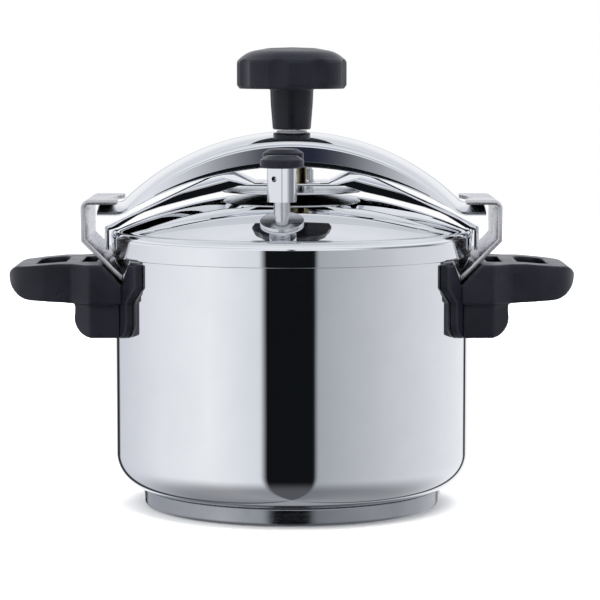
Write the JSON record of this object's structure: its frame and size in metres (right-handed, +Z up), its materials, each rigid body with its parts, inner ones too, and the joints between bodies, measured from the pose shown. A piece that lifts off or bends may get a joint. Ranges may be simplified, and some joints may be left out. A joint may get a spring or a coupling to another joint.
{
  "type": "stovetop pressure cooker",
  "caption": "Stainless stovetop pressure cooker whose lid is held by an outer clamp yoke under hooks, with a screw knob, a weight regulator and side handles.",
  "frame": {"origin": "centre of the base's resting face", "axes": "+Z up, side handles along X, pressure regulator towards -Y"},
  "size_m": [0.3554, 0.2294, 0.289],
  "materials": {
    "mirror_steel": "mirror polished stainless steel",
    "base_steel": "satin turned stainless steel",
    "base_aluminium": "plain",
    "hook_steel": "fine satin stainless steel",
    "plain_steel": "turned stainless steel",
    "chrome_plate": "bright chrome plate",
    "bakelite": "satin black moulded phenolic",
    "silicone": "matt translucent grey silicone",
    "brass": "turned, slightly dulled"
  },
  "bodies": {
    "pot": {"pot_body": "mirror_steel", "base_cap": "base_steel", "base_core": "base_aluminium", "hook_left": "hook_steel", "hook_right": "hook_steel", "saddle_left": "bakelite", "saddle_right": "bakelite", "handle_studs": "plain_steel", "handle_screws": "plain_steel", "handle_left": "bakelite", "handle_right": "bakelite"},
    "lid": {"lid_shell": "mirror_steel", "lid_gasket": "silicone", "pressure_plate": "plain_steel", "regulator_nozzle": "plain_steel", "regulator_washer": "plain_steel", "regulator_seal": "silicone", "regulator_nut": "plain_steel", "float_valve_sleeve": "plain_steel", "float_valve_seal": "silicone", "float_valve_nut": "plain_steel"},
    "knob_and_screw": {"clamp_screw": "plain_steel", "knob": "bakelite", "knob_insert": "brass", "knob_pin": "plain_steel"},
    "yoke": {"yoke_channel": "mirror_steel", "yoke_bar": "mirror_steel", "threaded_bush": "brass"},
    "regulator": {"regulator_weight": "chrome_plate", "regulator_needle": "plain_steel", "regulator_cap": "bakelite"},
    "float": {"float_pin": "plain_steel", "float_ring": "silicone"}
  },
  "joints": [
    {"name": "lid_lift", "type": "slide", "parent": "pot", "child": "lid", "axis": [0, 0, 1], "range_m": [0, 0.003]},
    {"name": "knob_turn", "type": "hinge", "parent": "lid", "child": "knob_and_screw", "pos_m": [0, 0, 0.25], "axis": [0, 0, 1], "range_deg": [0, 360]},
    {"name": "yoke_swing", "type": "hinge", "parent": "pot", "child": "yoke", "pos_m": [0, 0, 0.22], "axis": [0, 0, 1], "range_deg": [-56, 44]},
    {"name": "regulator_lift", "type": "slide", "parent": "lid", "child": "regulator", "axis": [0, 0, 1], "range_m": [0, 0.016]},
    {"name": "float_rise", "type": "slide", "parent": "lid", "child": "float", "axis": [0, 0, 1], "range_m": [0, 0.003]}
  ],
  "couplings": [
    {"joint": "lid_lift", "follows": "knob_turn", "m_per_rad": 0.00047746}
  ]
}
